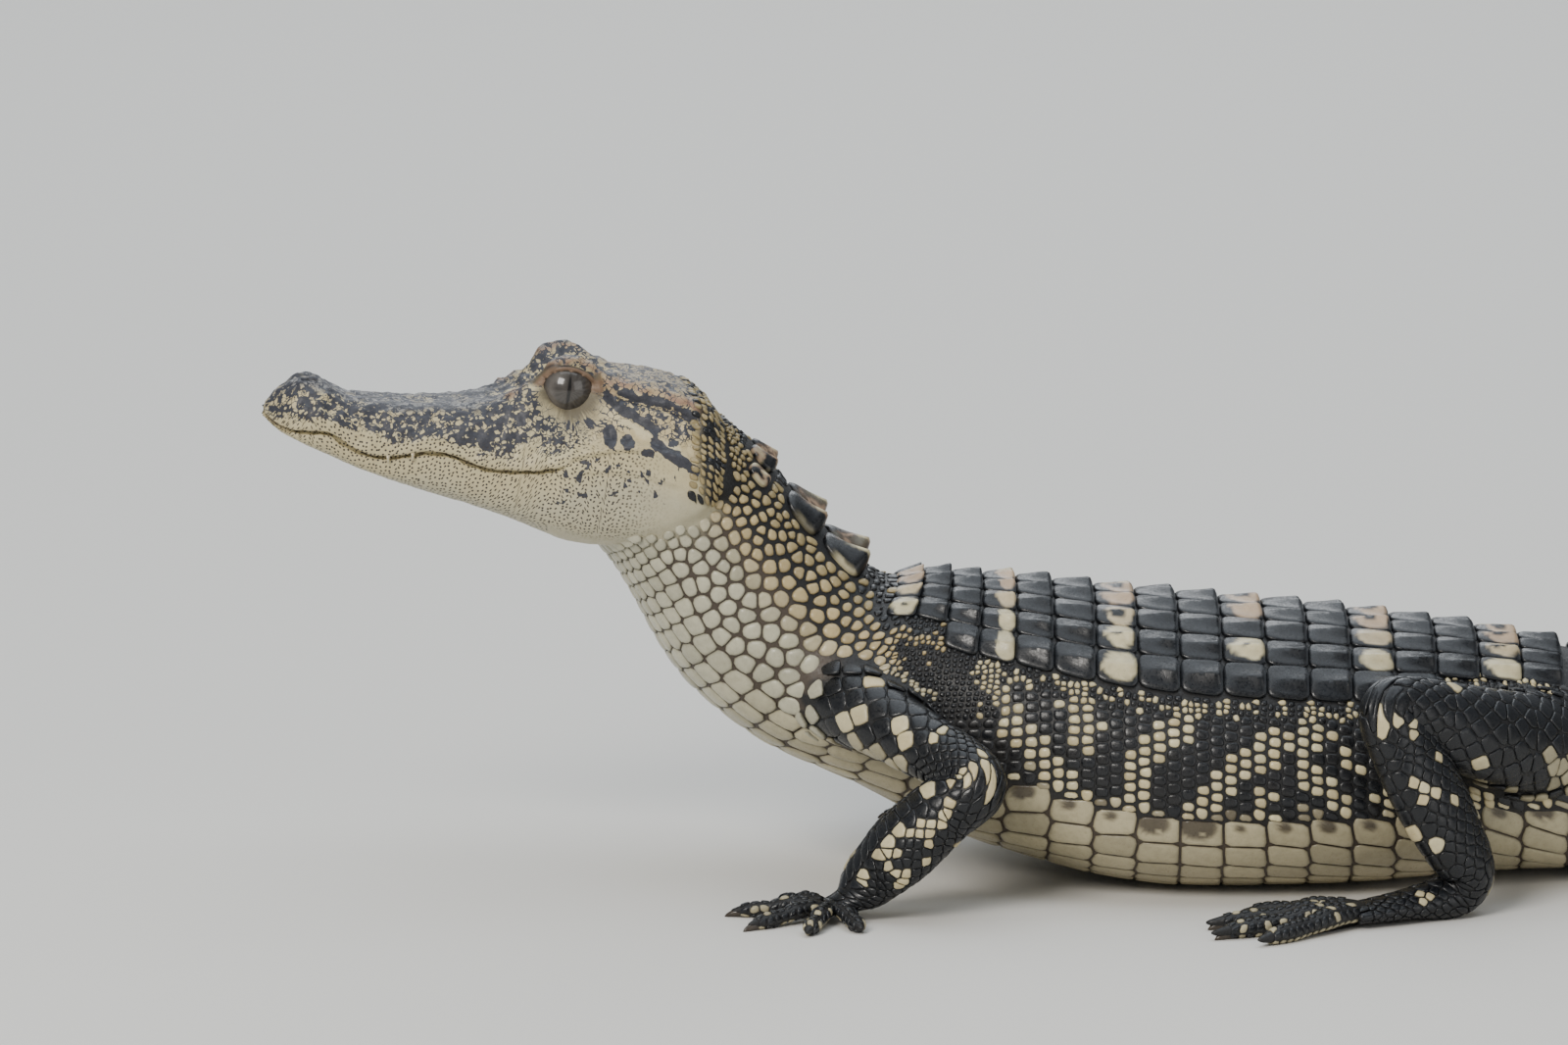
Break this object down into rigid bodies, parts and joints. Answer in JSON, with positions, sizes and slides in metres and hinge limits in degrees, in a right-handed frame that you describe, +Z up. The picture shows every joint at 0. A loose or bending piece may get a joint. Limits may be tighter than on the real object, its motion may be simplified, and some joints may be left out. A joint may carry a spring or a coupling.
{
  "type": "young american alligator",
  "caption": "Young american alligator as a still life-size model, on its belly with head and chest raised on the forelegs.",
  "frame": {"origin": "on the floor, under the middle of the whole animal's box", "axes": "+X from nose to tail, -Y to the animal's left side, +Z up from the floor"},
  "size_m": [0.5686, 0.1492, 0.1088],
  "materials": {
    "hide": "black, glossy scaled hide with cream scales in broken bands",
    "neck_hide": "cream scales with thin dark grooves",
    "head_hide": "cream and black mottled skin over the skull",
    "jaw_hide": "cream skin dotted with small dark pores",
    "scute": "black, glossy horny plates with some cream ones",
    "eye": "wet silver-grey iris with a black upright slit",
    "claw": "dark polished horn"
  },
  "bodies": {
    "root": {"head": "head_hide", "lower_jaw": "jaw_hide", "eye_left": "eye", "eye_right": "eye", "ear_left": "head_hide", "ear_right": "head_hide", "neck": "neck_hide", "torso": "hide", "tail_1": "hide", "tail_2": "hide", "tail_3": "hide", "tail_4": "hide", "upper_arm_left": "hide", "forearm_left": "hide", "hand_left": "hide", "thigh_left": "hide", "shank_left": "hide", "foot_left": "hide", "upper_arm_right": "hide", "forearm_right": "hide", "hand_right": "hide", "thigh_right": "hide", "shank_right": "hide", "foot_right": "hide"}
  },
  "joints": []
}
